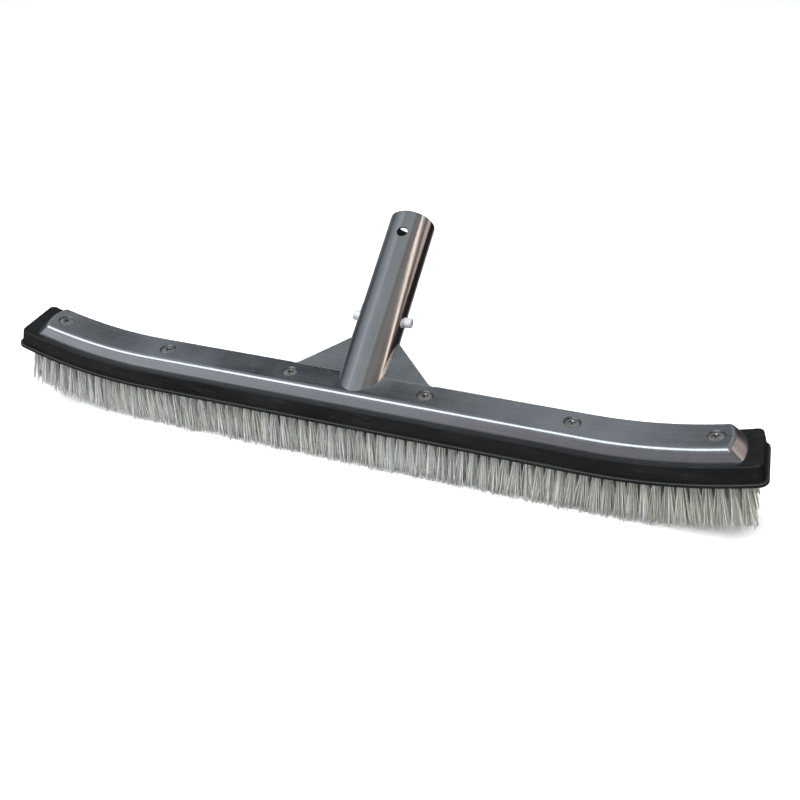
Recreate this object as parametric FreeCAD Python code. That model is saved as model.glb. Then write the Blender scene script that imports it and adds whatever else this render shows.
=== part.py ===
"""Curved pool wall brush: pressed aluminium back, tube handle, moulded block and staple-set tufts.

Millimetres. X runs along the head, the handle leans towards +Y, and +Z is up. The origin is the middle of
the scrubbing face, so the tips of the tufts in the straight middle of the head stand on Z = 0.
"""

import math
import os

import FreeCAD
import Part
from FreeCAD import Placement, Rotation, Vector

# Head, all lengths along it measured on the curve of the block's underside
head_length = 457.0  # over the block's flange
straight_length = 270.0  # flat middle stretch
bend_radius = 270.0  # of the underside where each end curves up

# Block
block_height = 12.0
block_top_width = 32.0
block_wall_draft = 0.6  # widening of each long wall from top to underside
block_corner_radius = 3.5  # at the four upright corners
block_edge_radius = 0.8
flange_height = 2.0
flange_reach = 1.4  # how far the flange stands out beyond the wall above it
flange_corner_radius = 5.0
spine_side_gap = 1.1  # from each side of the spine to the edge of the back's flat above it
spine_end_margin = 14.0  # from the end of the pressed back to the end of the spine

# Tufts
bristle_length = 29.0  # below the block
tuft_rows = 5
tuft_pitch = 6.2
row_margin = 3.4  # from the edge of the block's top face to the outer rows' centres
tuft_end_margin = 11.2  # from the end of the flange to the last tuft's centre
tuft_root_radius = 2.1
tuft_tip_radius = 2.85
tuft_hole_depth = 6.5
tuft_hole_clearance = 0.12
anchor_thickness = 0.5
anchor_height = 2.6
anchor_clearance = 0.02

# Pressed aluminium back
sheet = 1.2
back_rise = 8.2  # outer top of the back above the block's top face
back_ledge = 3.2  # strip of the block's top face left showing along each long side
back_edge_radius = 3.0
back_wall_lean = 12.0  # degrees, long walls
back_end_lean = 33.0  # degrees, end walls
back_end_margin = 9.0  # from the end of the flange to the end of the back
back_end_bow = 30.0  # radius of the end walls in plan
back_corner_radius = 2.4

# Gusset wings, bent up from the back's rear edge to the handle
wing_crease_step = 0.4  # from the edge of the back's flat to the crease
wing_angle = 18.0  # degrees above the flat of the back
wing_half_width = 42.0
wing_run = 26.0  # from the crease to the wing's top, in the wing's own plane
wing_root_radius = 7.0
wing_top_margin = 0.7  # width of the wings' tops beside the handle

# Handle tube
handle_angle = 30.5  # degrees above the flat of the back
handle_reach = 100.0  # on the axis, from the flat of the back to the free end
handle_front_margin = 0.5  # from the front edge of the back's flat to the tube's front line
spigot_radius = 14.3  # plug-in stretch
shank_step = 0.2  # how much larger the radius is beside the head, for a closer fit in the pole
tube_wall = 1.4
tube_rim_chamfer = 0.4
cross_hole_radius = 3.4
cross_hole_inset = 15.6  # from the free end
button_inset = 69.5  # from the free end
button_hole_radius = 3.75

# Spring clip inside the tube
button_radius = 3.1
button_stand_out = 4.5  # tip beyond the shank
button_nose_radius = 1.2
arm_thickness = 2.0
arm_width = 8.0
arm_length = 38.0  # from the pivot to the button
arm_tail = 6.0  # beyond the button's centre
arm_tail_radius = 3.2
arm_wall_gap = 0.4  # between the arm's corners and the bore
hinge_gap = 0.3
bridge_width = 12.0
bridge_depth = 7.0  # from the pivots to the far side of the bridge
bridge_corner_radius = 3.0
bridge_slip = 0.05  # between the bridge's shoulders and the bore
shoulder_to_button = 5.0  # from the button's centre to the step between shank and spigot

# Screws
screw_stations = (42.0, 125.5, 204.0)  # along the curve, each side of the middle
screw_head_radius = 4.1
screw_head_rise = 0.7
screw_cone_depth = 2.3
screw_shank_radius = 1.9
screw_floor = 1.0  # left in the block between a screw's hole and the depth of the tuft holes
screw_point = 2.0
screw_point_radius = 0.3
screw_recess_width = 0.95
screw_recess_span = 4.2
screw_recess_flare = 1.05  # how far each end of the recess slopes in
screw_recess_depth = 1.5
dimple_clearance = 0.65  # around the head
hole_clearance = 0.25  # shank in the back
thread_clearance = 0.02  # shank in the block
point_clearance = 0.5  # under the screw's point
dimple_seat = 0.1  # between the pressed dimple and its recess in the spine
weld_gap = 0.02  # between the wings' edges and the handle

straight_half = straight_length / 2
head_half = head_length / 2
block_half = head_half - flange_reach
block_foot_width = block_top_width + 2 * block_wall_draft
flange_width = block_foot_width + 2 * flange_reach
back_top = block_height + back_rise
row_spacing = (block_top_width - 2 * row_margin) / (tuft_rows - 1)
wall_slope = math.radians(back_wall_lean)
shoulder_height = back_rise - back_edge_radius * (1 - math.sin(wall_slope))
wall_spread = back_edge_radius * math.cos(wall_slope) + shoulder_height * math.tan(wall_slope)
flat_half = block_top_width / 2 - back_ledge - wall_spread
wing_crease_y = flat_half + wing_crease_step
spine_half_width = flat_half - spine_side_gap
spine_root = block_height / 2  # the spine starts inside the block
back_end = head_half - back_end_margin
end_bow_depth = back_end_bow - math.sqrt(back_end_bow**2 - (block_top_width / 2) ** 2)
end_setback = back_rise * math.tan(math.radians(back_end_lean)) + end_bow_depth  # of its top corners
plate_z = bristle_length + back_top
curve_centre_z = bristle_length + bend_radius
cutter = 60.0  # larger than any section of the head
run_out = 1.0  # how far a cutting tool runs beyond a face that it opens
near = 0.01  # closer than this counts as touching
cone_slope = (screw_head_radius - screw_shank_radius) / screw_cone_depth
head_sink = dimple_clearance / cone_slope  # the head's rim below the flat, when it seats in its dimple
dimple_depth = screw_cone_depth + head_sink
screw_length = back_top - head_sink - tuft_hole_depth - screw_floor - point_clearance  # below the rim
dimple_wall = sheet * math.hypot(1.0, cone_slope)  # the sheet's wall measured across the screw's axis
shank_radius = spigot_radius + shank_step
tube_bore_radius = spigot_radius - tube_wall
handle_foot_y = shank_radius / math.sin(math.radians(handle_angle)) - flat_half + handle_front_margin
button_at = handle_reach - button_inset
pivot_at = button_at + arm_length
arm_outer = math.sqrt(tube_bore_radius**2 - (arm_width / 2) ** 2) - arm_wall_gap
pivot_across = arm_outer - arm_thickness / 2
handle_frame = Placement(Vector(0, handle_foot_y, plate_z), Rotation(Vector(1, 0, 0), handle_angle - 90))


def station(along, height=0.0, across=0.0):
    """The frame at a place on the head: local X along the curve, local Z away from the bristles."""
    bend = math.copysign(max(abs(along) - straight_half, 0.0) / bend_radius, along)
    flat = math.copysign(min(abs(along), straight_half), along)
    radius = bend_radius - height
    place = Vector(flat + radius * math.sin(bend), across, curve_centre_z - radius * math.cos(bend))
    return Placement(place, Rotation(Vector(0, 1, 0), -math.degrees(bend)))


def placed(shape, frame):
    """A copy moved by a frame, keeping the placement that it already has."""
    copy = shape.copy()
    copy.Placement = frame.multiply(copy.Placement)
    return copy


def swept(outline, half_length):
    """A solid of one section along the head's curve. outline(x) gives the section's face at that X."""
    face = outline(straight_half)
    bend = math.degrees((half_length - straight_half) / bend_radius)
    middle = outline(-straight_half).extrude(Vector(straight_length, 0, 0))
    right = face.revolve(Vector(straight_half, 0, curve_centre_z), Vector(0, -1, 0), bend)
    left = right.mirror(Vector(0, 0, 0), Vector(1, 0, 0))
    return middle.fuse([right, left]).removeSplitter()


def section_face(x, points):
    """A flat face at X from (y, height) points. A pair of points stands for an arc's middle and end."""

    def at(point):
        return Vector(x, point[0], bristle_length + point[1])

    edges = []
    here = at(points[0])
    for point in points[1:]:
        if isinstance(point[0], tuple):
            edges.append(Part.Arc(here, at(point[0]), at(point[1])).toShape())
            here = at(point[1])
        else:
            edges.append(Part.LineSegment(here, at(point)).toShape())
            here = at(point)
    edges.append(Part.LineSegment(here, at(points[0])).toShape())
    return Part.Face(Part.Wire(edges))


def height_of(point):
    """How far a point lies above the curve of the block's underside."""
    beyond = max(abs(point.x) - straight_half, 0.0)
    if beyond == 0.0:
        return point.z - bristle_length
    return bend_radius - math.hypot(beyond, curve_centre_z - point.z)


def bar_section(half_foot, half_top, low, high):
    """The outline of a bar with a flat top and bottom and drafted walls."""

    def outline(x):
        return section_face(x, [(-half_foot, low), (-half_top, high), (half_top, high), (half_foot, low)])

    return outline


def middle_of(edge):
    return edge.valueAt((edge.FirstParameter + edge.LastParameter) / 2)


def upright_edges(solid, along):
    """The edges that stand upright in the flat end face at a station."""
    inverse = station(along).inverse()
    found = []
    for edge in solid.Edges:
        ends = [inverse.multVec(vertex.Point) for vertex in edge.Vertexes]
        if len(ends) == 2 and max(abs(end.x) for end in ends) < near:
            if abs(ends[0].z - ends[1].z) > abs(ends[0].y - ends[1].y):
                found.append(edge)
    return found


def level_edges(solid, height):
    """The edges that run round a solid at one height above the underside."""
    found = []
    for edge in solid.Edges:
        points = [middle_of(edge)] + [vertex.Point for vertex in edge.Vertexes]
        if max(abs(height_of(point) - height) for point in points) < near:
            found.append(edge)
    return found


def rounded_bar(outline, half_length, top, corner_radius):
    """A bar along the head with rounded upright corners and a rounded top edge all round."""
    bar = swept(outline, half_length)
    bar = bar.makeFillet(corner_radius, upright_edges(bar, half_length) + upright_edges(bar, -half_length))
    rim = [edge for edge in level_edges(bar, top) if not crosses(edge)]
    return bar.makeFillet(block_edge_radius, rim)


def crosses(edge):
    """True for a seam that runs across the head at the start of a bend."""
    ends = [vertex.Point for vertex in edge.Vertexes]
    return len(ends) == 2 and all(abs(abs(end.x) - straight_half) < near for end in ends)


def tuft_stations(row):
    """Stations of one row's tufts. Every second row is set half a pitch along."""
    reach = head_half - tuft_end_margin
    steps = int(2 * reach / tuft_pitch)
    count = steps + 1 - row % 2
    return [(i - (count - 1) / 2) * tuft_pitch for i in range(count)]


def row_across(row):
    return (row - (tuft_rows - 1) / 2) * row_spacing


def tuft_frames(row):
    return [station(along, 0.0, row_across(row)) for along in tuft_stations(row)]


def screw_frames(height):
    alongs = [-along for along in reversed(screw_stations)] + list(screw_stations)
    return [station(along, height) for along in alongs]


def make_tuft():
    """One tuft, hanging below its own origin, with the notch in which its anchor sits."""
    root = Part.makeCylinder(tuft_root_radius, tuft_hole_depth)
    brush = Part.makeCone(tuft_tip_radius, tuft_root_radius, bristle_length, Vector(0, 0, -bristle_length))
    notch = Part.makeBox(2 * tuft_tip_radius, anchor_thickness, anchor_height)
    notch.translate(Vector(-tuft_tip_radius, -anchor_thickness / 2, tuft_hole_depth - anchor_height))
    return root.fuse(brush).removeSplitter().cut(notch)


def make_anchor():
    """The flat wire that holds a folded tuft down, reaching from wall to wall of its hole."""
    hole = tuft_root_radius + tuft_hole_clearance - anchor_clearance
    half = math.sqrt(hole**2 - (anchor_thickness / 2) ** 2)
    height = anchor_height - anchor_clearance
    strip = Part.makeBox(2 * half, anchor_thickness - 2 * anchor_clearance, height)
    low = tuft_hole_depth - height
    strip.translate(Vector(-half, anchor_clearance - anchor_thickness / 2, low))
    return strip


def screw_cone(grow, depth, above=0.0):
    """A cone with the slope of the screw's head, wider than the head by grow, from above its rim downwards."""
    low_radius = screw_head_radius + grow - cone_slope * depth
    height = depth + above
    return Part.makeCone(low_radius, low_radius + cone_slope * height, height, Vector(0, 0, -depth))


def make_screw():
    """A raised-countersunk cross-recess screw, with its origin at the middle of the head's rim."""
    dome_radius = (screw_head_radius**2 + screw_head_rise**2) / (2 * screw_head_rise)
    ball = Part.makeSphere(dome_radius, Vector(0, 0, screw_head_rise - dome_radius))
    dome = ball.common(Part.makeCylinder(screw_head_radius, screw_head_rise))
    shank_length = screw_length - screw_point
    shank = Part.makeCylinder(screw_shank_radius, shank_length, Vector(0, 0, -shank_length))
    point = Part.makeCone(screw_point_radius, screw_shank_radius, screw_point, Vector(0, 0, -screw_length))
    solid = dome.fuse([screw_cone(0.0, screw_cone_depth), shank, point]).removeSplitter()
    half = screw_recess_span / 2
    for turn in (0, 90):
        blade = Part.makePolygon(
            [
                Vector(-half, 0, screw_head_rise),
                Vector(half, 0, screw_head_rise),
                Vector(half - screw_recess_flare, 0, screw_head_rise - screw_recess_depth),
                Vector(screw_recess_flare - half, 0, screw_head_rise - screw_recess_depth),
                Vector(-half, 0, screw_head_rise),
            ]
        )
        slot = Part.Face(blade).extrude(Vector(0, screw_recess_width, 0))
        slot.translate(Vector(0, -screw_recess_width / 2, 0))
        slot.rotate(Vector(0, 0, 0), Vector(0, 0, 1), turn)
        solid = solid.cut(slot)
    return solid


def make_block():
    """The moulded block: flange, body and spine, with blind tuft holes and screw holes."""
    half_foot = block_foot_width / 2
    wall = bar_section(half_foot, block_top_width / 2, 0.0, block_height)
    body = rounded_bar(wall, block_half, block_height, block_corner_radius)
    rim = bar_section(flange_width / 2, flange_width / 2, 0.0, flange_height)
    flange = rounded_bar(rim, head_half, flange_height, flange_corner_radius)
    rib = bar_section(spine_half_width, spine_half_width, spine_root, back_top - sheet)
    solid = body.fuse([flange, swept(rib, back_end - spine_end_margin)])
    tools = []
    hole_radius = tuft_root_radius + tuft_hole_clearance
    hole = Part.makeCylinder(hole_radius, tuft_hole_depth + run_out, Vector(0, 0, -run_out))
    for row in range(tuft_rows):
        tools += [placed(hole, frame) for frame in tuft_frames(row)]
    pilot_depth = head_sink + screw_length + point_clearance
    pilot_radius = screw_shank_radius + thread_clearance
    pilot = Part.makeCylinder(pilot_radius, pilot_depth, Vector(0, 0, -pilot_depth))
    recess = screw_cone(dimple_clearance + dimple_wall + dimple_seat, dimple_depth + dimple_seat)
    for frame in screw_frames(back_top):
        tools += [placed(pilot, frame), placed(recess, frame)]
    return solid.cut(Part.makeCompound(tools))


def back_section(inset):
    """The outline of the pressed back, moved inwards by inset. The inner one runs on below the rim."""
    radius = back_edge_radius - inset
    centre_h = back_top - back_edge_radius
    foot = block_height - inset
    turn = (math.radians(90) + wall_slope) / 2
    edge = (flat_half + radius * math.cos(wall_slope), centre_h + radius * math.sin(wall_slope))
    middle = (flat_half + radius * math.cos(turn), centre_h + radius * math.sin(turn))
    foot_y = edge[0] + (edge[1] - foot) * math.tan(wall_slope)
    top = centre_h + radius

    def outline(x):
        points = [(-foot_y, foot), (-edge[0], edge[1]), ((-middle[0], middle[1]), (-flat_half, top))]
        points += [(flat_half, top), (middle, edge), (foot_y, foot)]
        return section_face(x, points)

    return outline


def end_trim(inset, side):
    """What is cut away beyond one end of the back: everything outside a leaning, bowed end wall."""
    lean = math.radians(back_end_lean)
    low = -cutter / 4
    high = cutter / 4
    wall = back_end_bow - inset / math.cos(lean)
    cone = Part.makeCone(wall - low * math.tan(lean), wall - high * math.tan(lean), high - low)
    cone.rotate(Vector(0, 0, 0), Vector(0, 0, 1), 180)
    cone.translate(Vector(-back_end_bow, 0, low))
    block = Part.makeBox(cutter, cutter, high - low, Vector(-back_end_bow / 2, -cutter / 2, low))
    trim = block.cut(cone)
    if side < 0:
        trim = trim.mirror(Vector(0, 0, 0), Vector(1, 0, 0))
    return placed(trim, station(side * back_end, block_height))


def back_blank(inset):
    """The solid inside the back's outer or inner skin, with its end walls rounded into the rest."""
    solid = swept(back_section(inset), back_end + run_out)
    solid = solid.cut([end_trim(inset, 1), end_trim(inset, -1)])
    rim = [edge for edge in solid.Edges if rounds_end(edge)]
    return solid.makeFillet(back_corner_radius - inset, rim)


def rounds_end(edge):
    """True for an edge where an end wall meets the long walls or the flat, but not at the foot."""
    along = math.copysign(back_end, edge.CenterOfMass.x)
    middle = station(along, block_height).inverse().multVec(middle_of(edge))
    return math.copysign(1, along) * middle.x > -end_setback and middle.z > near


def wing_outline():
    """Plan of both wings, from the crease to their tops, with a hollow curve at each root."""
    slope = math.radians(wing_angle)
    top = Vector(shank_radius + wing_top_margin, wing_crease_y + wing_run * math.cos(slope), 0)
    root = Vector(wing_half_width, wing_crease_y, 0)
    up = (top - root).normalize()
    bisector = (up + Vector(1, 0, 0)).normalize()
    half_angle = bisector.getAngle(up)
    setback = wing_root_radius / math.tan(half_angle)
    foot = root + Vector(setback, 0, 0)
    tangent = root + up * setback
    hollow = root + bisector * (wing_root_radius / math.sin(half_angle) - wing_root_radius)

    def flip(point):
        return Vector(-point.x, point.y, 0)

    edges = [
        Part.Arc(foot, hollow, tangent).toShape(),
        Part.LineSegment(tangent, top).toShape(),
        Part.LineSegment(top, flip(top)).toShape(),
        Part.LineSegment(flip(top), flip(tangent)).toShape(),
        Part.Arc(flip(tangent), flip(hollow), flip(foot)).toShape(),
        Part.LineSegment(flip(foot), foot).toShape(),
    ]
    return Part.Face(Part.Wire(edges)), foot.x


def make_wings():
    """Both wings: a strip of the sheet bent up at the crease, trimmed, and notched for the handle."""
    plan, half = wing_outline()
    slope = math.radians(wing_angle)
    run_y = wing_run * math.cos(slope)
    run_z = wing_run * math.sin(slope)
    under_y = sheet * math.sin(slope)
    profile = Part.makePolygon(
        [
            Vector(-half, wing_crease_y, plate_z),
            Vector(-half, wing_crease_y + run_y, plate_z + run_z),
            Vector(-half, wing_crease_y + run_y + under_y, plate_z + run_z - sheet * math.cos(slope)),
            Vector(-half, wing_crease_y + sheet * math.tan(slope / 2), plate_z - sheet),
            Vector(-half, wing_crease_y, plate_z - sheet),
            Vector(-half, wing_crease_y, plate_z),
        ]
    )
    strip = Part.Face(profile).extrude(Vector(2 * half, 0, 0))
    plan.translate(Vector(0, 0, plate_z - cutter / 2))
    wings = strip.common(plan.extrude(Vector(0, 0, cutter)))
    notch = Part.makeCylinder(shank_radius + weld_gap, 2 * cutter, Vector(0, 0, -cutter))
    return wings.cut(placed(notch, handle_frame))


def make_back():
    """The pressed back: a curved tray with screw dimples, open at its rear edge where the wings rise."""
    tray = back_blank(0.0).cut(back_blank(sheet))
    half = wing_outline()[1]
    opening = Part.makeBox(2 * half, cutter, cutter, Vector(-half, wing_crease_y, plate_z - cutter / 2))
    solid = tray.cut(opening).fuse(make_wings()).removeSplitter()
    boss = screw_cone(dimple_clearance + dimple_wall, dimple_depth)
    dimple = screw_cone(dimple_clearance, dimple_depth, run_out)
    hole = Part.makeCylinder(screw_shank_radius + hole_clearance, dimple_depth, Vector(0, 0, -dimple_depth))
    frames = screw_frames(back_top)
    solid = solid.fuse([placed(boss, frame) for frame in frames])
    tools = [placed(tool, frame) for frame in frames for tool in (dimple, hole)]
    return solid.cut(Part.makeCompound(tools))


def make_handle():
    """The handle tube, mitred to stand on the flat of the back, with its button and cross holes."""
    shoulder = button_at + shoulder_to_button
    shank = Part.makeCylinder(shank_radius, cutter + shoulder, Vector(0, 0, -cutter))
    spigot = Part.makeCylinder(spigot_radius, handle_reach - tube_rim_chamfer)
    rim = Part.makeCone(
        spigot_radius,
        spigot_radius - tube_rim_chamfer,
        tube_rim_chamfer,
        Vector(0, 0, handle_reach - tube_rim_chamfer),
    )
    bore = Part.makeCylinder(tube_bore_radius, 3 * cutter, Vector(0, 0, -cutter))
    side = Part.makeCylinder(button_hole_radius, cutter, Vector(-cutter / 2, 0, button_at), Vector(1, 0, 0))
    cross_at = Vector(0, -cutter / 2, handle_reach - cross_hole_inset)
    cross = Part.makeCylinder(cross_hole_radius, cutter, cross_at, Vector(0, 1, 0))
    tube = shank.fuse([spigot, rim]).cut([bore, side, cross])
    corner = Vector(-2 * cutter, -2 * cutter, plate_z - 2 * cutter)
    below = Part.makeBox(4 * cutter, 4 * cutter, 2 * cutter, corner)
    return placed(tube, handle_frame).cut(below)


def make_bridge():
    """The bend of the clip, with a hollow end for each arm's pivot and shoulders that rub the bore."""
    inner = arm_outer - arm_thickness
    outer_block = Part.makeBox(2 * arm_outer, bridge_width, bridge_depth)
    outer_block.translate(Vector(-arm_outer, -bridge_width / 2, pivot_at))
    inner_block = Part.makeBox(2 * inner, 2 * bridge_width, bridge_depth)
    inner_block.translate(Vector(-inner, -bridge_width, pivot_at - arm_thickness))
    outer_block = outer_block.makeFillet(bridge_corner_radius, far_corners(outer_block))
    inner_block = inner_block.makeFillet(bridge_corner_radius - arm_thickness, far_corners(inner_block))
    guide = Part.makeCylinder(tube_bore_radius - bridge_slip, 3 * cutter)
    sockets = [pivot_barrel(side, arm_thickness / 2 + hinge_gap, 2 * bridge_width) for side in (1, -1)]
    return outer_block.cut([inner_block] + sockets).common(guide)


def far_corners(block):
    """The two edges of a block that run across the handle at its far end."""
    far = block.BoundBox.ZMax - near
    return [edge for edge in block.Edges if edge.BoundBox.ZMin > far and edge.BoundBox.XLength < near]


def pivot_barrel(side, radius, width):
    start = Vector(side * pivot_across, -width / 2, pivot_at)
    return Part.makeCylinder(radius, width, start, Vector(0, 1, 0))


def make_arm(side):
    """One spring arm with its button; side is 1 for the arm at +X and -1 for the other."""
    low = button_at - arm_tail
    strip = Part.makeBox(arm_thickness, arm_width, pivot_at - low)
    strip.translate(Vector(pivot_across - arm_thickness / 2, -arm_width / 2, low))
    foot = [edge for edge in strip.Edges if edge.BoundBox.ZMax < low + near]
    corners = [edge for edge in foot if edge.BoundBox.YLength < near]
    strip = strip.makeFillet(arm_tail_radius, corners)
    tip = shank_radius + button_stand_out
    button_foot = Vector(pivot_across, 0, button_at)
    button = Part.makeCylinder(button_radius, tip - pivot_across, button_foot, Vector(1, 0, 0))
    nose = [edge for edge in button.Edges if edge.BoundBox.XMin > tip - near]
    button = button.makeFillet(button_nose_radius, nose)
    barrel = pivot_barrel(1, arm_thickness / 2, arm_width)
    arm = strip.fuse([button, barrel]).removeSplitter()
    if side < 0:
        arm = arm.mirror(Vector(0, 0, 0), Vector(1, 0, 0))
    return placed(arm, handle_frame)


def main():
    os.makedirs("parts", exist_ok=True)
    nodes = {
        "brush_block": make_block(),
        "back_plate": make_back(),
        "handle_tube": make_handle(),
        "clip_bridge": placed(make_bridge(), handle_frame),
        "clip_arm_right": make_arm(1),
        "clip_arm_left": make_arm(-1),
    }
    screw = make_screw()
    for number, frame in enumerate(screw_frames(back_top - head_sink), start=1):
        nodes[f"screw_{number}"] = placed(screw, frame)
    tuft = make_tuft()
    anchor = make_anchor()
    for row in range(tuft_rows):
        frames = tuft_frames(row)
        nodes[f"tufts_row_{row + 1}"] = Part.makeCompound([placed(tuft, frame) for frame in frames])
        nodes[f"anchors_row_{row + 1}"] = Part.makeCompound([placed(anchor, frame) for frame in frames])
    for name, shape in nodes.items():
        shape.exportStep(f"parts/{name}.step")


main()
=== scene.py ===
"""Looks of the pool wall brush: filament bristles, brushed metal, moulded plastic and soft light."""

import math
import random

import bmesh
import bpy
from mathutils import Matrix, Vector


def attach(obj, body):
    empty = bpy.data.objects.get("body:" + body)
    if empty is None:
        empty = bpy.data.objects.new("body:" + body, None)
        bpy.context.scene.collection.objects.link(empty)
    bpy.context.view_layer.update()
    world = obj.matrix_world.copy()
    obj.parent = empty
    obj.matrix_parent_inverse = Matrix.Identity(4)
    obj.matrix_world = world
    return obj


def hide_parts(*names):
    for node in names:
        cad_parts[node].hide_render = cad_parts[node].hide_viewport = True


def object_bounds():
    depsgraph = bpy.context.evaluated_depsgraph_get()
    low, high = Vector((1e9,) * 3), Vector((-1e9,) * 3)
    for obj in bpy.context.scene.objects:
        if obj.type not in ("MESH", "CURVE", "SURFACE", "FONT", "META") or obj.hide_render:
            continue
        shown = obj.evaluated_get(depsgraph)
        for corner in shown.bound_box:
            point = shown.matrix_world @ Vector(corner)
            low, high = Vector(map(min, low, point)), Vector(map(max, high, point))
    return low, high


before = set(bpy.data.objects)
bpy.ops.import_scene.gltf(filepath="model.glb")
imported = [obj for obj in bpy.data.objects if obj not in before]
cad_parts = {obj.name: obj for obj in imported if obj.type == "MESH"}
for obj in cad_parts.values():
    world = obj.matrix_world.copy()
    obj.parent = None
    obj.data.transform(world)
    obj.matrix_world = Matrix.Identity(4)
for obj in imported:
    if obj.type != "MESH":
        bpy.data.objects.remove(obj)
cad_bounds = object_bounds()

# The head's curve, in metres, as the CAD has it
STRAIGHT_HALF = 0.135
BEND_RADIUS = 0.270
BRISTLE_LENGTH = 0.029
CURVE_CENTRE_Z = BRISTLE_LENGTH + BEND_RADIUS
BACK_TOP = 0.0202  # height of the back's flat above the block's underside
FLANGE_EDGE = 0.0018  # height of the flange's rounded upper edge
WING_CREASE = 0.00903  # how far back the wings' crease lies
WING_REACH = 0.049  # half the length of the crease
HANDLE_TILT = math.radians(30.5)
HANDLE_FOOT = (0.02044, 0.0492)  # Y and Z where the handle's axis meets the plane of the flat
HANDLE_WALL = 0.0136  # radius halfway through the handle's wall
WALL_BLEND = 0.0002  # over which the outside's finish gives way to the bore's painted shade
SCREW_STATIONS = (0.042, 0.1255, 0.204)
SCREW_RIM_DROP = 0.0007  # from the flat down to a screw head's rim
DIMPLE_RADIUS = 0.00472

# Bristles, in metres. Strays and leans are along the head, then across it.
# A stretch is the two places along the head where a change starts and is full.
ROWS = 5
STRANDS_PER_TUFT = 72
STRAND_SIDES = 3
STRAND_STEPS = 4
STRAND_RADIUS = 0.00019
STRAND_TAPER = 0.18  # share of the radius that is lost by the tip
ROOT_RADIUS = 0.0018  # of the whole tuft, at the block
TIP_RADIUS = 0.0046  # of the whole tuft, at its free end
ROOT_DEPTH = 0.0015  # how far up inside its hole a strand is modelled
REACH_SHARES = (0.8, 1.15)  # how far out of its place a strand's tip may lie
ANGLE_STRAY = 0.25
TIP_STRAY = (0.0011, 0.0006)
TUFT_LEAN = (0.0006, 0.0003)
END_TUFT_LEAN = 0.0004  # towards the middle of the head
CURL = 0.00016
EARLY_SPREAD = 0.25  # how much faster than a straight line a strand spreads at its root
TIP_LIFT = 0.00005
LEAST_RAGGED = 0.0004
LEFT_RAGGED = 0.0012
TUFT_RAGGED = 0.0003
RAGGED_POWER = 1.6  # above 1, so that most strands are nearly full length
RAGGED_STRETCH = (0.02, -0.2)
WAVE_HEIGHT = 0.0011  # of the wave along the tips, which fades to the right
WAVE_STRETCH = (0.12, -0.15)
WAVES = 190.0
# Where the painted warm light on the bristles starts and is full, along the head.
WARM_STRETCH = (0.04, 0.21)
SHADE_ALPHA = (1.2, 1.6)  # at the left, and what the painted warm light at the right end adds
SHADE_BETA = 1.9
FIRST_SEED = 100
SHADES = 64  # columns of the bristles' texture, one colour each
COLUMN_MARGIN = 0.1  # kept free at each side of a strand's share of its column
STRAND_MAP = "OFBake"
WELD_DISTANCE = 1e-6
TIP_SLICE = 1e-4  # a tuft's points this near its lowest one are its tip
GOLDEN_ANGLE = math.pi * (3 - math.sqrt(5))

# Surfaces
NOISE_RANGE = (0.3, 0.7)  # where nearly all of a noise texture's values lie
FLOOR_HALF = 6.0
FLOOR_DROP = 0.0001

# Camera
AIM = Vector((0.0223, 0.0119, 0.0331))
AZIMUTH = math.radians(21.19)
ELEVATION = math.radians(36.84)
ROLL = math.radians(2.65)
DISTANCE = 0.526
LENS = 40.0
SENSOR_WIDTH = 36.0
NEAR_CLIP = 0.01


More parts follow.
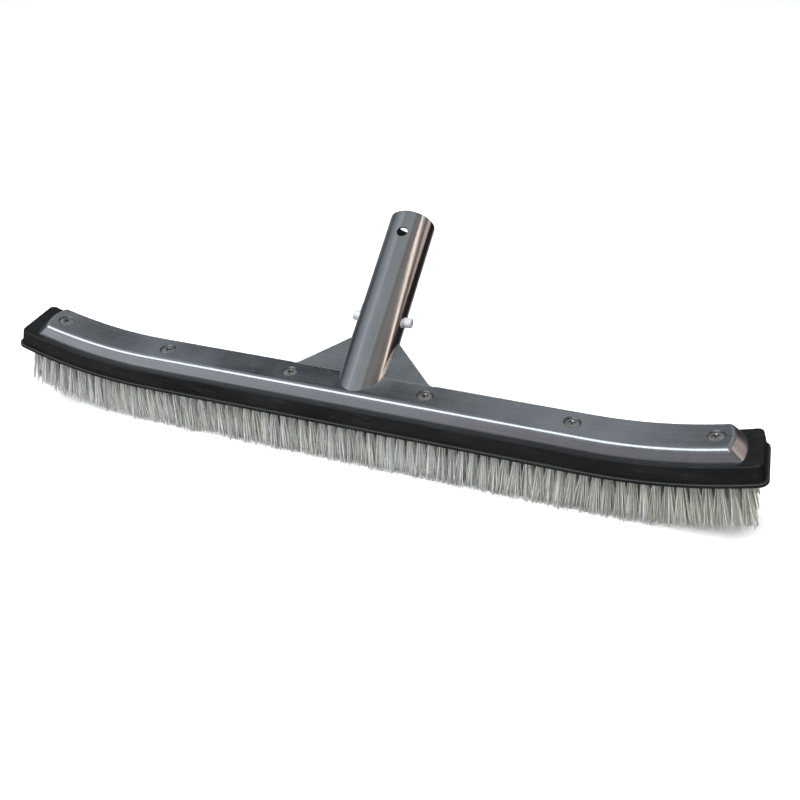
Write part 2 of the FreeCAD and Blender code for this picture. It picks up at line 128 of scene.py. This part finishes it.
class Nodes:
    """A node tree and short ways to add to it. Values are numbers, colours or other nodes' outputs."""

    def __init__(self, tree):
        self.tree = tree

    def feed(self, socket, value):
        if isinstance(value, bpy.types.NodeSocket):
            self.tree.links.new(value, socket)
        else:
            socket.default_value = value

    def maths(self, operation, a, b=0.0):
        node = self.tree.nodes.new("ShaderNodeMath")
        node.operation = operation
        self.feed(node.inputs[0], a)
        self.feed(node.inputs[1], b)
        return node.outputs[0]

    def plus(self, a, b):
        return self.maths("ADD", a, b)

    def minus(self, a, b):
        return self.maths("SUBTRACT", a, b)

    def times(self, a, b):
        return self.maths("MULTIPLY", a, b)

    def hypot(self, a, b):
        return self.maths("SQRT", self.plus(self.times(a, a), self.times(b, b)))

    def scaled(self, vector, factors):
        node = self.tree.nodes.new("ShaderNodeVectorMath")
        node.operation = "MULTIPLY"
        self.feed(node.inputs[0], vector)
        node.inputs[1].default_value = factors
        return node.outputs[0]

    def noise(self, vector, scale, detail=4.0, roughness=0.55):
        node = self.tree.nodes.new("ShaderNodeTexNoise")
        self.feed(node.inputs["Vector"], vector)
        node.inputs["Scale"].default_value = scale
        node.inputs["Detail"].default_value = detail
        node.inputs["Roughness"].default_value = roughness
        return node.outputs["Fac"]

    def between(self, value, low, high, out_low=0.0, out_high=1.0, smooth=True):
        """Turns low to high into out_low to out_high, and holds it there beyond."""
        node = self.tree.nodes.new("ShaderNodeMapRange")
        node.interpolation_type = "SMOOTHSTEP" if smooth else "LINEAR"
        self.feed(node.inputs["Value"], value)
        limits = {"From Min": low, "From Max": high, "To Min": out_low, "To Max": out_high}
        for socket, number in limits.items():
            node.inputs[socket].default_value = number
        return node.outputs["Result"]

    def stretched(self, noise, low, high, smooth=False):
        """A noise's usual range, stretched from low to high."""
        return self.between(noise, *NOISE_RANGE, low, high, smooth)

    def ramp(self, value, stops):
        node = self.tree.nodes.new("ShaderNodeValToRGB")
        self.feed(node.inputs["Fac"], value)
        elements = node.color_ramp.elements
        while len(elements) < len(stops):
            elements.new(0.5)
        for element, (position, colour) in zip(elements, stops):
            element.position = position
            element.color = (*colour, 1.0)
        return node.outputs["Color"]

    def mixed(self, share, a, b, kind="MIX"):
        node = self.tree.nodes.new("ShaderNodeMix")
        node.data_type = "RGBA"
        node.blend_type = kind
        factor, first, second = (node.inputs[index] for index in (0, 6, 7))
        self.feed(factor, share)
        self.feed(first, a if isinstance(a, bpy.types.NodeSocket) else (*a, 1.0))
        self.feed(second, b if isinstance(b, bpy.types.NodeSocket) else (*b, 1.0))
        return node.outputs[2]

    def product(self, a, b):
        return self.mixed(1.0, a, b, "MULTIPLY")

    def total(self, a, b):
        return self.mixed(1.0, a, b, "ADD")

    def bump(self, height, depth, under=None):
        node = self.tree.nodes.new("ShaderNodeBump")
        node.inputs["Distance"].default_value = depth
        self.feed(node.inputs["Height"], height)
        if under is not None:
            self.feed(node.inputs["Normal"], under)
        return node.outputs["Normal"]

    def place(self, kind="Object"):
        return self.tree.nodes.new("ShaderNodeTexCoord").outputs[kind]

    def split(self, vector):
        node = self.tree.nodes.new("ShaderNodeSeparateXYZ")
        self.feed(node.inputs[0], vector)
        return node.outputs

    def joined(self, x, y, z):
        node = self.tree.nodes.new("ShaderNodeCombineXYZ")
        for socket, value in zip(node.inputs, (x, y, z)):
            self.feed(socket, value)
        return node.outputs[0]

    def facing(self, vector, toward):
        """1 where a unit vector points the same way as toward, and less beside it."""
        node = self.tree.nodes.new("ShaderNodeVectorMath")
        node.operation = "DOT_PRODUCT"
        self.feed(node.inputs[0], vector)
        node.inputs[1].default_value = Vector(toward).normalized()
        return node.outputs["Value"]

    def turned(self, vector, angle):
        """The vector turned about X."""
        node = self.tree.nodes.new("ShaderNodeVectorRotate")
        node.rotation_type = "X_AXIS"
        self.feed(node.inputs["Vector"], vector)
        node.inputs["Angle"].default_value = angle
        return node.outputs["Vector"]

    def along_head(self):
        """Coordinates that follow the curved head: along it, across it, and height above its underside."""
        x, y, z = self.split(self.place())
        size = self.maths("ABSOLUTE", x)
        beyond = self.maths("MAXIMUM", self.minus(size, STRAIGHT_HALF), 0.0)
        drop = self.minus(CURVE_CENTRE_Z, z)
        arc = self.times(self.maths("ARCTAN2", beyond, drop), BEND_RADIUS)
        along = self.plus(self.maths("MINIMUM", size, STRAIGHT_HALF), arc)
        height = self.minus(BEND_RADIUS, self.hypot(beyond, drop))
        return self.joined(self.times(self.maths("SIGN", x), along), y, height)


class Finish(Nodes):
    """A procedural material: a Principled shader and the nodes that feed it."""

    def __init__(self, name, **values):
        self.material = bpy.data.materials.new(name)
        self.material.use_nodes = True
        super().__init__(self.material.node_tree)
        self.shader = next(n for n in self.tree.nodes if n.type == "BSDF_PRINCIPLED")
        for socket, value in values.items():
            self.shader.inputs[socket.replace("_", " ")].default_value = value

    def set(self, socket, value):
        self.feed(self.shader.inputs[socket], value)


def streaks(finish, place, along, across):
    """Noise drawn out along the first axis, with so many grains in a metre along it and across it."""
    return finish.noise(finish.scaled(place, (along / across, 1.0, 1.0)), across, 3.0)


def brushed(finish, place, colours, gloss, along):
    """Colour, roughness and normal of metal brushed along the first axis of place."""
    fine_streaks = streaks(finish, place, along, 2600.0)
    broad_streaks = streaks(finish, place, along, 650.0)
    clouds = finish.noise(place, 55.0, 5.0, 0.6)
    grain = finish.noise(place, 1500.0, 2.0)
    scratches = finish.noise(finish.scaled(place, (0.09, 1.0, 0.35)), 900.0, 1.0)
    marks = finish.between(scratches, 0.68, 0.74)
    mottle = finish.plus(finish.times(clouds, 0.5), finish.times(broad_streaks, 0.3))
    mottle = finish.plus(mottle, finish.times(grain, 0.2))
    colour = finish.ramp(mottle, [(0.30, colours[0]), (0.5, colours[1]), (0.70, colours[2])])
    colour = finish.mixed(finish.times(marks, 0.35), colour, colours[2])
    rough = finish.plus(finish.times(fine_streaks, 0.5), finish.times(clouds, 0.5))
    rough = finish.stretched(rough, *gloss)
    normal = finish.bump(broad_streaks, 0.000003)
    normal = finish.bump(fine_streaks, 0.000003, normal)
    normal = finish.bump(grain, 0.000002, normal)
    return colour, rough, finish.bump(marks, -0.000004, normal)


def back_aluminium():
    """The pressed back: dirt and painted shade in the screw dimples and a painted highlight along the
    wings' bend.
    """
    finish = Finish("back_aluminium", Metallic=1.0)
    place = finish.along_head()
    along, across, _ = finish.split(place)
    size = finish.maths("ABSOLUTE", along)
    away = [finish.hypot(finish.minus(size, station), across) for station in SCREW_STATIONS]
    nearest = finish.maths("MINIMUM", finish.maths("MINIMUM", away[0], away[1]), away[2])
    # Dirt and painted shade: darker and rougher in the screw dimples, fading out just beyond them.
    dirt_and_shade = finish.between(nearest, DIMPLE_RADIUS, DIMPLE_RADIUS + 0.0004, 0.85, 0.0)
    # Painted highlight: a thin paler line along the wings' bend, fading out towards its ends.
    from_crease = finish.maths("ABSOLUTE", finish.minus(across, WING_CREASE))
    crease_highlight = finish.between(from_crease, 0.0001, 0.0006, 0.28, 0.0)
    crease_highlight = finish.times(crease_highlight, finish.between(size, WING_REACH - 0.006, WING_REACH, 1.0, 0.0))
    colours = [(0.50, 0.51, 0.54), (0.60, 0.62, 0.65), (0.70, 0.72, 0.75)]
    colour, rough, normal = brushed(finish, place, colours, (0.20, 0.34), 12.0)
    colour = finish.mixed(crease_highlight, colour, (0.93, 0.94, 0.95))
    finish.set("Base Color", finish.mixed(dirt_and_shade, colour, (0.14, 0.135, 0.13)))
    finish.set("Roughness", finish.plus(rough, finish.times(dirt_and_shade, 0.2)))
    finish.set("Normal", normal)
    return finish.material


def tube_aluminium():
    """The handle: polished along its length outside, dull and darkened by painted shade in the bore."""
    finish = Finish("tube_aluminium", Metallic=1.0)
    x, y, z = finish.split(finish.turned(finish.place(), -HANDLE_TILT))
    axis_height = HANDLE_FOOT[1] * math.cos(HANDLE_TILT) - HANDLE_FOOT[0] * math.sin(HANDLE_TILT)
    radius = finish.hypot(x, finish.minus(z, axis_height))
    # Painted shade: the bore is given a near-black colour, and is also made rougher.
    shaded_bore = finish.between(radius, HANDLE_WALL - WALL_BLEND, HANDLE_WALL + WALL_BLEND, 1.0, 0.0)
    colours = [(0.60, 0.62, 0.64), (0.69, 0.71, 0.73), (0.78, 0.79, 0.80)]
    colour, rough, normal = brushed(finish, finish.joined(y, x, z), colours, (0.10, 0.18), 7.0)
    finish.set("Base Color", finish.mixed(shaded_bore, colour, (0.055, 0.055, 0.055)))
    finish.set("Roughness", finish.plus(rough, finish.times(shaded_bore, 0.4)))
    finish.set("Normal", normal)
    return finish.material


def screw_steel():
    """The screws: warm grey heads with dirt and painted shade in their recesses."""
    finish = Finish("screw_steel", Metallic=1.0)
    place = finish.along_head()
    height = finish.split(place)[2]
    spots = finish.noise(place, 1400.0, 4.0)
    stain = finish.noise(place, 420.0, 3.0)
    warm_greys = [(0.3, (0.50, 0.47, 0.43)), (0.5, (0.64, 0.61, 0.57)), (0.7, (0.76, 0.73, 0.69))]
    colour = finish.ramp(spots, warm_greys)
    rim = BACK_TOP - SCREW_RIM_DROP
    # Dirt and painted shade: darker below the heads' rim and down in the recesses, patchy with the stain
    # noise.
    dirt_and_shade = finish.between(height, rim - 0.0003, rim + 0.00005, 1.0, 0.0)
    dirt_and_shade = finish.times(dirt_and_shade, finish.between(stain, 0.25, 0.7, 0.75, 1.0))
    finish.set("Base Color", finish.mixed(dirt_and_shade, colour, (0.05, 0.045, 0.04)))
    finish.set("Roughness", finish.stretched(stain, 0.22, 0.42))
    finish.set("Normal", finish.bump(spots, 0.00003))
    return finish.material


def anchor_steel():
    """The flat wire of the anchors."""
    finish = Finish("anchor_steel", Metallic=1.0)
    place = finish.place()
    drawn = finish.noise(finish.scaled(place, (0.1, 1.0, 1.0)), 2200.0, 3.0)
    finish.set("Base Color", finish.ramp(drawn, [(0.35, (0.50, 0.44, 0.30)), (0.65, (0.66, 0.60, 0.44))]))
    finish.set("Roughness", finish.stretched(drawn, 0.25, 0.45))
    finish.set("Normal", finish.bump(drawn, 0.00001))
    return finish.material


def block_plastic():
    """The moulded block: near black, with flow marks, scuffs and a painted highlight along the flange
    edge.
    """
    finish = Finish("block_plastic", Specular_IOR_Level=0.3)
    place = finish.along_head()
    height = finish.split(place)[2]
    moulded = finish.noise(place, 2400.0, 3.0, 0.6)
    flow = finish.noise(finish.scaled(place, (0.25, 1.0, 1.0)), 110.0, 4.0)
    scuffs = finish.noise(finish.scaled(place, (0.12, 1.0, 1.0)), 700.0, 3.0)
    colour = finish.ramp(flow, [(0.3, (0.0040, 0.0045, 0.0048)), (0.7, (0.0085, 0.0095, 0.0095))])
    rub = finish.between(scuffs, 0.60, 0.74, 0.0, 0.5)
    colour = finish.mixed(rub, colour, (0.028, 0.030, 0.030))
    # Painted highlight: a paler greenish line along the flange's rounded upper edge.
    from_edge = finish.maths("ABSOLUTE", finish.minus(height, FLANGE_EDGE))
    flange_highlight = finish.between(from_edge, 0.0, 0.0003, 0.5, 0.0)
    finish.set("Base Color", finish.mixed(flange_highlight, colour, (0.06, 0.07, 0.062)))
    rough = finish.plus(finish.times(flow, 0.6), finish.times(scuffs, 0.4))
    finish.set("Roughness", finish.stretched(rough, 0.24, 0.46))
    finish.set("Normal", finish.bump(flow, 0.00004, finish.bump(moulded, 0.000012)))
    return finish.material


def clip_nylon():
    """The clip and its buttons: pale moulded nylon."""
    finish = Finish("clip_nylon", Subsurface_Weight=0.25, Subsurface_Scale=0.0015)
    finish.shader.inputs["Subsurface Radius"].default_value = (1.0, 0.9, 0.8)
    place = finish.place()
    cloud = finish.noise(place, 260.0, 4.0)
    skin = finish.noise(place, 1800.0, 3.0)
    finish.set("Base Color", finish.ramp(cloud, [(0.3, (0.38, 0.39, 0.41)), (0.7, (0.48, 0.49, 0.51))]))
    finish.set("Roughness", finish.stretched(skin, 0.26, 0.42))
    finish.set("Normal", finish.bump(skin, 0.00001, finish.bump(cloud, 0.00004)))
    return finish.material


def bristle_nylon():
    """Each strand takes one column of the texture across, and its length runs up it."""
    finish = Finish("bristle_nylon", Subsurface_Weight=0.15, Subsurface_Scale=0.0008)
    finish.shader.inputs["Subsurface Radius"].default_value = (1.0, 0.95, 0.9)
    node = finish.tree.nodes.new("ShaderNodeUVMap")
    node.uv_map = STRAND_MAP
    across, up, _ = finish.split(node.outputs["UV"])
    column = finish.times(finish.maths("FLOOR", finish.times(across, SHADES)), 1 / SHADES)
    drawn = finish.noise(finish.joined(finish.times(column, 37.0), up, 0.0), 9.0, 3.0)
    # Painted shade: the dark grey stop at 0.32 makes some strands dark, standing for shadowed gaps between
    # them.
    tints_and_painted_shade = [
        (0.0, (0.72, 0.76, 0.77)),
        (0.22, (0.66, 0.69, 0.68)),
        (0.32, (0.20, 0.215, 0.21)),
        (0.46, (0.66, 0.67, 0.63)),
        (0.66, (0.62, 0.60, 0.53)),
        (0.78, (0.27, 0.24, 0.18)),
        (1.0, (0.66, 0.60, 0.48)),
    ]
    colour = finish.ramp(column, tints_and_painted_shade)
    shade = finish.stretched(drawn, 0.0, 0.35, smooth=True)
    colour = finish.mixed(shade, colour, (0.30, 0.29, 0.26))
    shadow = finish.between(up, 0.35, 0.95, 0.0, 0.62)
    finish.set("Base Color", finish.mixed(shadow, colour, (0.13, 0.13, 0.12)))
    finish.set("Roughness", finish.stretched(drawn, 0.28, 0.45))
    finish.set("Normal", finish.bump(drawn, 0.00004))
    return finish.material


def upward(point):
    """Unit vector from the tips to the block at a place on the curved head."""
    flat = math.copysign(min(abs(point.x), STRAIGHT_HALF), point.x)
    return (Vector((flat, point.y, CURVE_CENTRE_Z)) - point).normalized()


def islands(mesh):
    """The separate solids of a mesh, each as a list of points."""
    shape = bmesh.new()
    shape.from_mesh(mesh)
    bmesh.ops.remove_doubles(shape, verts=shape.verts, dist=WELD_DISTANCE)
    seen = set()
    found = []
    for start in shape.verts:
        if start in seen:
            continue
        seen.add(start)
        waiting = [start]
        points = []
        while waiting:
            vertex = waiting.pop()
            points.append(vertex.co.copy())
            for link in vertex.link_edges:
                other = link.other_vert(vertex)
                if other not in seen:
                    seen.add(other)
                    waiting.append(other)
        found.append(points)
    shape.free()
    return found


def tuft_tip(points):
    """The middle of a tuft's lower end."""
    middle = sum(points, Vector()) / len(points)
    up = upward(middle)
    low = min(point.dot(up) for point in points)
    ring = [point for point in points if point.dot(up) < low + TIP_SLICE]
    return sum(ring, Vector()) / len(ring)


def strand_line(tip, up, side, number, rng, lean, ragged):
    """Points down one strand, from inside its hole to its tip."""
    share = math.sqrt((number + 0.5) / STRANDS_PER_TUFT)
    angle = number * GOLDEN_ANGLE + rng.uniform(-ANGLE_STRAY, ANGLE_STRAY)
    ahead = up.cross(side)
    outward = side * math.cos(angle) + ahead * math.sin(angle)
    root = tip + up * BRISTLE_LENGTH + outward * ROOT_RADIUS * share
    reach = TIP_RADIUS * share * rng.uniform(*REACH_SHARES)
    stray = side * rng.gauss(0, TIP_STRAY[0]) + ahead * rng.gauss(0, TIP_STRAY[1])
    lift = ragged * rng.random() ** RAGGED_POWER + TIP_LIFT
    end = tip + outward * reach + lean + stray + up * lift
    end.x = min(max(end.x, cad_bounds[0].x + STRAND_RADIUS), cad_bounds[1].x - STRAND_RADIUS)
    end.y = max(end.y, cad_bounds[0].y + STRAND_RADIUS)
    curl = (side * rng.gauss(0, 1) + ahead * rng.gauss(0, 1)) * CURL
    line = [root + up * ROOT_DEPTH]
    for step in range(STRAND_STEPS + 1):
        t = step / STRAND_STEPS
        spread = (1 + EARLY_SPREAD) * t - EARLY_SPREAD * t * t
        line.append(root.lerp(end, spread) + curl * math.sin(math.pi * t))
    return line


def add_strand(points, faces, corners, line, side, ahead, column, turn):
    """One tapered strand as a thin prism along a line, with its texture column."""
    first = len(points)
    last = len(line) - 1
    for step, middle in enumerate(line):
        radius = STRAND_RADIUS * (1.0 - STRAND_TAPER * step / last)
        for corner in range(STRAND_SIDES):
            angle = turn + 2 * math.pi * corner / STRAND_SIDES
            points.append(middle + (side * math.cos(angle) + ahead * math.sin(angle)) * radius)
    wide = 1.0 / SHADES
    for step in range(last):
        low, high = 1.0 - step / last, 1.0 - (step + 1) / last
        for corner in range(STRAND_SIDES):
            here = first + step * STRAND_SIDES
            after = (corner + 1) % STRAND_SIDES
            beyond = here + STRAND_SIDES
            faces.append((here + corner, here + after, beyond + after, beyond + corner))
            left = (column + (corner + COLUMN_MARGIN) / STRAND_SIDES) * wide
            right = (column + (corner + 1 - COLUMN_MARGIN) / STRAND_SIDES) * wide
            corners.extend([(left, low), (right, low), (right, high), (left, high)])
    end = first + last * STRAND_SIDES
    faces.append(tuple(end + corner for corner in range(STRAND_SIDES)))
    tip = [(0.2, 0.0), (0.8, 0.0), (0.5, 0.01)]
    corners.extend([((column + across) * wide, up) for across, up in tip])


def smooth_step(low, high, value):
    """0 at low, 1 at high, with a soft start and end. Low may be the larger."""
    share = min(max((value - low) / (high - low), 0.0), 1.0)
    return share * share * (3 - 2 * share)


def bristle_row(number, material):
    """The filaments of one row of tufts, standing where the CAD's tufts do."""
    node = f"tufts_row_{number}"
    rng = random.Random(FIRST_SEED + number)
    points, faces, corners = [], [], []
    tips = [tuft_tip(island) for island in islands(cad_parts[node].data)]
    tips.sort(key=lambda tip: tip.x)
    for order, tip in enumerate(tips):
        up = upward(tip)
        side = Vector((0, 1, 0)).cross(up)
        ahead = up.cross(side)
        lean = side * rng.gauss(0, TUFT_LEAN[0]) + ahead * rng.gauss(0, TUFT_LEAN[1])
        if order in (0, len(tips) - 1):
            lean = side * math.copysign(END_TUFT_LEAN, -tip.x)
        worn = LEFT_RAGGED * smooth_step(*RAGGED_STRETCH, tip.x)
        ragged = LEAST_RAGGED + worn + rng.uniform(0, TUFT_RAGGED)
        wave = (1 + math.sin(tip.x * WAVES + number)) / 2
        lean += up * WAVE_HEIGHT * smooth_step(*WAVE_STRETCH, tip.x) * wave
        # Mostly painted warm light, partly beige strands: towards the right end more strands take the warm
        # columns.
        warm = smooth_step(*WARM_STRETCH, tip.x)
        for strand in range(STRANDS_PER_TUFT):
            line = strand_line(tip, up, side, strand, rng, lean, ragged)
            shade = rng.betavariate(SHADE_ALPHA[0] + SHADE_ALPHA[1] * warm, SHADE_BETA)
            column = min(int(shade * SHADES), SHADES - 1)
            add_strand(points, faces, corners, line, side, ahead, column, rng.uniform(0, math.pi))
    mesh = bpy.data.meshes.new(f"bristles_row_{number}")
    mesh.from_pydata(points, [], faces)
    layer = mesh.uv_layers.new(name=STRAND_MAP)
    layer.data.foreach_set("uv", [part for corner in corners for part in corner])
    mesh.materials.append(material)
    mesh.shade_smooth()
    piece = bpy.data.objects.new(mesh.name, mesh)
    bpy.context.scene.collection.objects.link(piece)
    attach(piece, "head")
    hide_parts(node)


def finish_cad_nodes():
    """Gives every carried-over CAD node its own procedural material."""
    made = {
        "brush_block": block_plastic(),
        "back_plate": back_aluminium(),
        "handle_tube": tube_aluminium(),
        "clip": clip_nylon(),
        "screw": screw_steel(),
        "anchors": anchor_steel(),
    }
    for name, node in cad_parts.items():
        for key, material in made.items():
            if name.startswith(key):
                for index in range(len(node.data.materials)):
                    node.data.materials[index] = material


def grey(level):
    return (level, level, level)


def make_floor():
    """A plain pale floor. Metal doesn't mirror it, so the brush keeps a dark lower edge."""
    half = FLOOR_HALF
    mesh = bpy.data.meshes.new("floor")
    corners = [(-half, -half, 0), (half, -half, 0), (half, half, 0), (-half, half, 0)]
    mesh.from_pydata(corners, [], [(0, 1, 2, 3)])
    floor = bpy.data.objects.new("floor", mesh)
    floor.location.z = -FLOOR_DROP
    bpy.context.scene.collection.objects.link(floor)
    finish = Finish("floor_paper", Roughness=0.9, Specular_IOR_Level=0.1)
    paper = finish.noise(finish.place(), 90.0, 4.0)
    finish.set("Base Color", finish.ramp(paper, [(0.3, grey(0.95)), (0.7, grey(0.965))]))
    mesh.materials.append(finish.material)
    floor.visible_glossy = False


def make_world():
    """Soft room light that metal mirrors: grey above, dark low down, cool to the left, warm to the right.

    Two soft dark patches stand for the parts of the room that the flat and the wings mirror.
    """
    world = bpy.data.worlds.new("studio")
    bpy.context.scene.world = world
    world.use_nodes = True
    room = Nodes(world.node_tree)
    background = next(n for n in room.tree.nodes if n.type == "BACKGROUND")
    direction = room.place("Generated")
    x, y, z = room.split(direction)

    def along(part, stops):
        """A ramp over one part of the direction, which runs from -1 to 1."""
        share = room.between(part, -1.0, 1.0, smooth=False)
        return room.ramp(share, [((position + 1) / 2, colour) for position, colour in stops])

    heights = [
        (-0.9, (0.26, 0.26, 0.265)),
        (-0.7, (0.20, 0.20, 0.205)),
        (-0.55, (0.02, 0.02, 0.022)),
        (-0.05, (0.03, 0.031, 0.034)),
        (0.12, (0.09, 0.092, 0.098)),
        (0.35, (0.23, 0.235, 0.245)),
        (0.62, (0.28, 0.285, 0.295)),
        (0.85, (0.30, 0.305, 0.31)),
        (1.0, (0.27, 0.27, 0.27)),
    ]
    sides = [
        (-0.95, (0.75, 0.80, 0.85)),
        (-0.6, (1.34, 1.40, 1.50)),
        (-0.42, (1.08, 1.14, 1.18)),
        (0.26, (1.05, 1.11, 1.13)),
        (0.42, (0.66, 0.62, 0.57)),
        (0.7, (0.80, 0.75, 0.70)),
        (0.95, (0.62, 0.54, 0.47)),
    ]
    front = [(-1.0, (0.36, 0.36, 0.38)), (-0.65, (0.32, 0.31, 0.34)), (-0.1, grey(0.0))]
    low = [(-0.5, grey(0.1)), (-0.24, grey(0.8)), (-0.1, grey(1.0)), (0.3, grey(0.0))]
    across = [(-0.6, (1.75, 1.78, 1.72)), (-0.3, grey(1.25)), (0.1, (0.55, 0.52, 0.52))]
    behind = [(0.4, grey(0.0)), (0.8, (0.26, 0.265, 0.275))]
    beneath = [(-1.0, grey(1.0)), (-0.05, grey(0.8)), (0.25, grey(0.0))]
    leftward = [(0.05, grey(1.0)), (0.42, grey(0.0))]
    sky = room.product(along(z, heights), along(x, sides))
    glow = room.product(room.product(along(y, front), along(z, low)), along(x, across))
    rear = room.product(room.product(along(y, behind), along(z, beneath)), along(x, leftward))
    patches = [((-0.38, 0.73, 0.57), 0.972, 0.0), ((-0.29, 0.30, 0.91), 0.93, 0.66)]
    for toward, wide, depth in patches:
        sky = room.product(sky, room.between(room.facing(direction, toward), wide, 1.0, 1.0, depth))
    room.feed(background.inputs["Color"], room.total(sky, room.total(glow, rear)))


def add_light(name, toward, distance, size, power, colour=(1, 1, 1), mirrored=True):
    """A soft rectangular light, placed in a direction from the brush and facing it."""
    data = bpy.data.lights.new(name, "AREA")
    data.shape = "RECTANGLE"
    data.size, data.size_y = size
    data.energy = power
    data.color = colour
    light = bpy.data.objects.new(name, data)
    offset = Vector(toward).normalized() * distance
    light.location = AIM + offset
    light.rotation_euler = (-offset).to_track_quat("-Z", "Y").to_euler()
    light.visible_glossy = mirrored
    bpy.context.scene.collection.objects.link(light)


def make_lights():
    """Two wide lights that metal doesn't mirror, and three that give its highlights."""
    add_light("overhead", (-0.15, -0.18, 1.0), 1.6, (2.4, 2.4), 58.0, mirrored=False)
    add_light("front_fill", (-0.3, -1.0, 0.45), 1.5, (1.6, 0.9), 9.0, mirrored=False)
    add_light("edge_strip", (-0.20, -0.64, 0.74), 1.3, (1.7, 0.75), 7.5, (0.90, 0.96, 1.0))
    add_light("warm_side", (0.88, 0.33, 0.33), 1.2, (0.09, 1.2), 0.55, (1.0, 0.80, 0.66))
    add_light("warm_end", (0.78, 0.60, 0.13), 1.3, (0.30, 0.40), 0.22, (1.0, 0.72, 0.62))


def make_camera():
    """The camera, in front of the brush, above it and a little to the right."""
    flat = math.cos(ELEVATION)
    back = Vector((flat * math.sin(AZIMUTH), -flat * math.cos(AZIMUTH), math.sin(ELEVATION)))
    data = bpy.data.cameras.new("camera")
    data.lens = LENS
    data.sensor_width = SENSOR_WIDTH
    data.clip_start = NEAR_CLIP
    camera = bpy.data.objects.new("camera", data)
    turn = (-back).to_track_quat("-Z", "Y").to_matrix().to_4x4() @ Matrix.Rotation(-ROLL, 4, "Z")
    camera.matrix_world = Matrix.Translation(AIM + back * DISTANCE) @ turn
    bpy.context.scene.collection.objects.link(camera)
    bpy.context.scene.camera = camera


bpy.context.scene.view_settings.view_transform = "Standard"
finish_cad_nodes()
nylon = bristle_nylon()
for row in range(1, ROWS + 1):
    bristle_row(row, nylon)
make_floor()
make_world()
make_lights()
make_camera()
